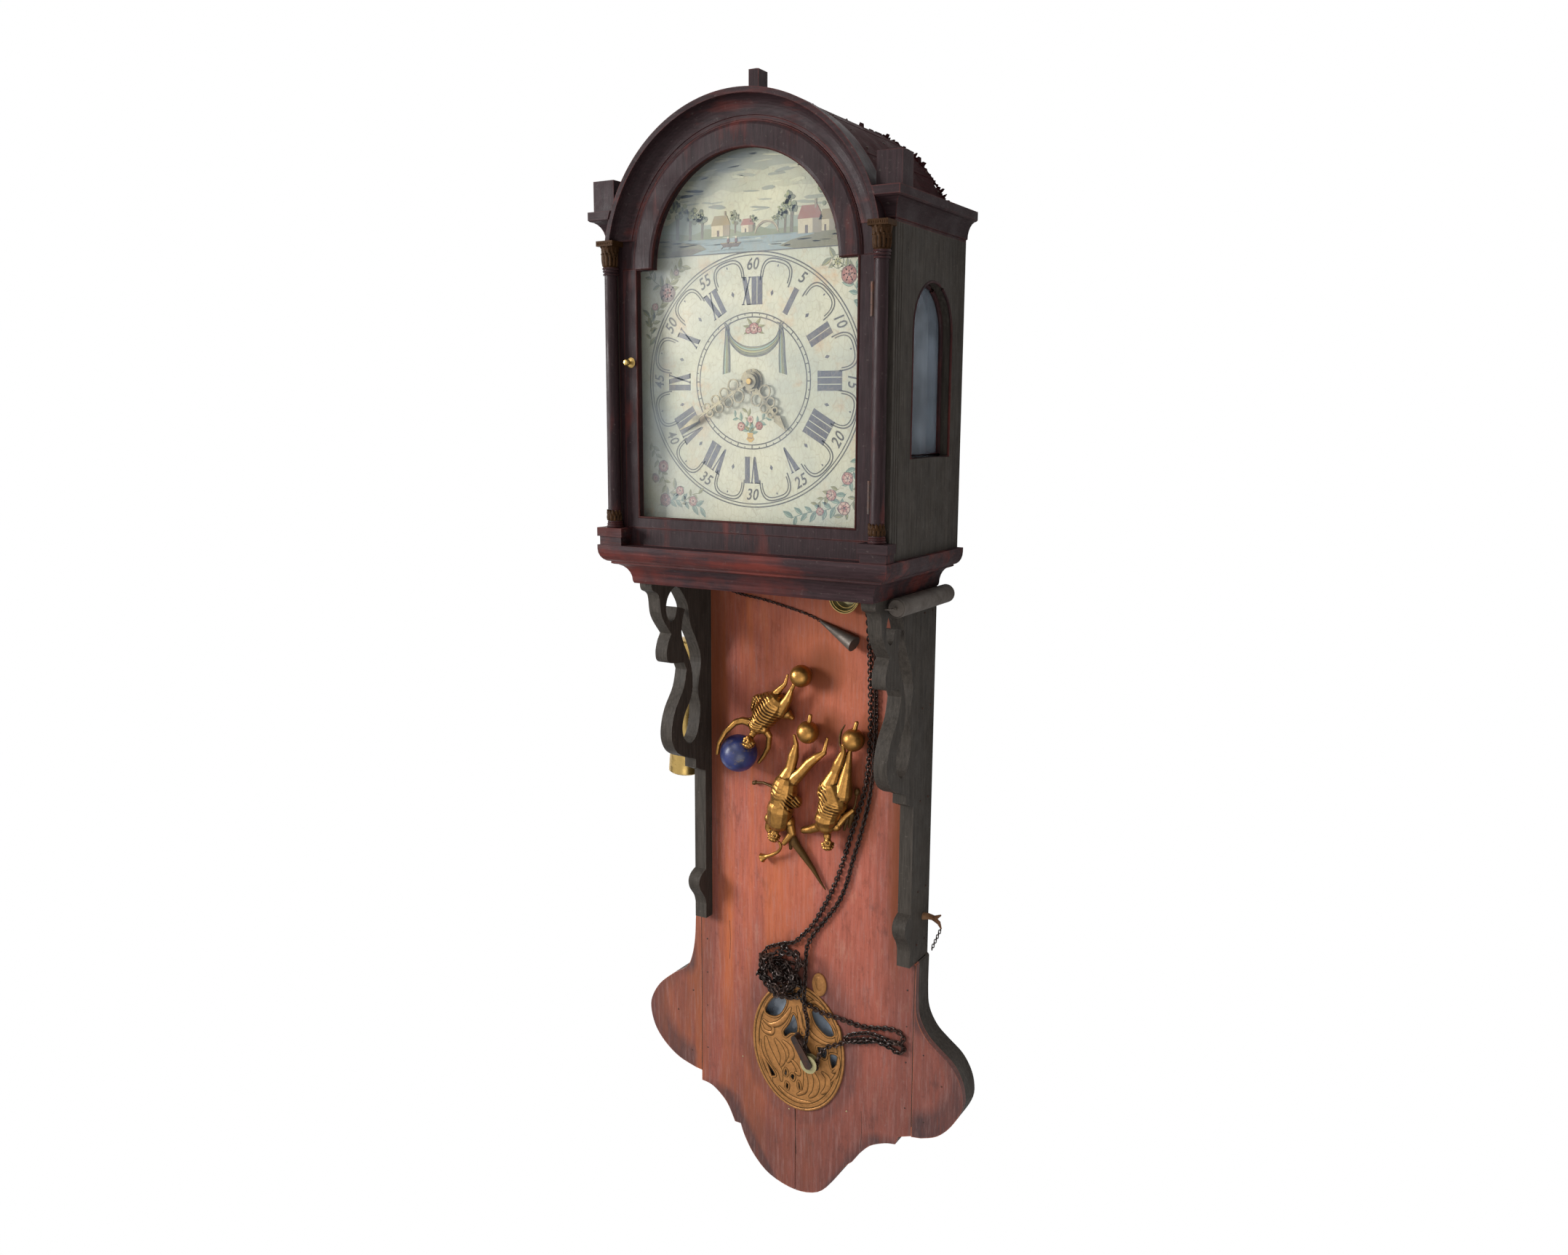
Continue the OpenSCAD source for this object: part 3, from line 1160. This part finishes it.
// The two ends of the chain meet in the pulley's groove
meet_at = 266;
sheave_way = [-sin(meet_at), cos(meet_at), 0];
sheave_end = on_sheave(meet_at);
function on_sheave(a) = [pulley_c[0] + groove_r * cos(a), pulley_c[1] + groove_r * sin(a), wheel_mid];
left_run = concat([[-sprocket_run, seat_low, chain_z], [-sprocket_run, -122, chain_z], [-10, -140, 82],
  [20, -151, 58], [60, -173, lie + 2], [72, -192, lie], [75, -224, lie], [78, -265, lie], [80, -310, lie],
  [81, -360, lie], [79, -400, lie], [75, -428, lie], [67, -456, lie], [59, -482, lie], [50, -513, lie],
  [42, -536, lie], [30, -563, lie], [15, -590, lie], [2, -606, lie], [-9, -617, lie_up]],
  [pile_first - 6 * first_way, pile_first]);
right_run = concat([[sprocket_run, seat_low, chain_z], [sprocket_run, -122, chain_z], [40, -139, 80],
  [60, -152, 58], [79, -174, lie + 2], [82, -200, lie], [84, -250, lie], [86, -300, lie], [87, -360, lie],
  [85, -402, lie], [81.5, -432, lie], [76, -458, lie], [70, -481, lie], [62, -509, lie], [55, -536, lie],
  [45, -560, lie], [31, -581, lie], [17, -600, lie], [8, -618, lie_up], [6, -640, lie_up],
  [6, -660, lie_up + 1], [7, -675, lie_up + step_up], [8, -691, lie_up + step_up],
  [9.5, -704, lie_up + 2], [10, -717, lie_up + 1], [8.5, -731, wheel_mid], [6.6, -744, wheel_mid]],
  [for (i = [0:4]) on_sheave(165 + 21 * i)], [sheave_end - 1.5 * sheave_way, sheave_end]);
module chain_strands() color(iron) {
  tube(left_run, chain_r, 8);
  tube(right_run, chain_r, 8);
}

// Branch of chain that leads from the pile to the right and back to the pulley
branch_run = concat([pile_last, pile_last + 5 * last_way, [-2, -680.5, lie_up + 2.6],
  [8, -687, lie_up], [20, -691.5, lie_up], [32, -693.5, lie_up], [46, -694, lie_up], [60, -696, lie],
  [77, -697, lie], [94, -694, lie], [110, -691, lie], [122, -692, lie], [127, -699, lie], [121, -707, lie],
  [106, -706, lie], [92, -705.5, lie], [77, -709.5, lie], [61, -718, lie_up], [48, -726, lie_up],
  [37, -731, lie_up + 1], [29, -738, wheel_mid], [25, -748, wheel_mid]],
  [for (i = [0:3]) on_sheave(-15 - 21 * i)], [sheave_end + 1.5 * sheave_way, sheave_end]);
module chain_branch() color(iron) tube(branch_run, chain_r, 8);

// Thin chain from the seat board to the cone weight
thin_run = concat([[thin_x, seat_low, chain_z], [thin_x, -122, chain_z], [-106, -155, 62],
  [-108, -186, thin_lie + 3], [-106, -208, thin_lie], [-96, -222, thin_lie], [-80, -227, thin_lie],
  [-50, -231, thin_lie], [-20, -237, thin_lie], [0, -241.5, thin_lie], [12, -245.2, thin_lie]],
  [cone_tip - 3 * cone_way, cone_tip]);
module thin_chain() color(iron) tube(thin_run, thin_d / 2, 8);

back_board();
tail_front_board();
side_board_left();
side_board_right();
side_lobes();
lobe_blocks();
window_glass();
window_fretwork();
hood_side_left();
hood_side_right();
side_glasses();
front_frame();
arch_moulding();
cornice();
corner_blocks();
centre_peg();
base_moulding();
columns();
capitals();
pedestals();
roof_boards();
door_frame();
door_glass();
door_knob();
door_hinges();
frame_hinges();
dial_plate();
seat_board();
movement_frame();
great_wheel();
centre_wheel();
third_wheel();
escape_wheel();
anchor();
cannon_pipe();
minute_hand();
motion_wheel();
hour_wheel();
hour_hand();
alarm_disc();
bell();
hammer();
suspension_stud();
pendulum_rod();
pendulum_bob();
figure_bearer();
blue_globe();
figure_trumpeter();
figure_guardian();
brass_weight();
lead_weight();
cone_weight();
brass_cup();
pulley_fork();
pulley_wheel();
inner_chain();
chain_strands();
chain_pile();
chain_branch();
thin_chain();
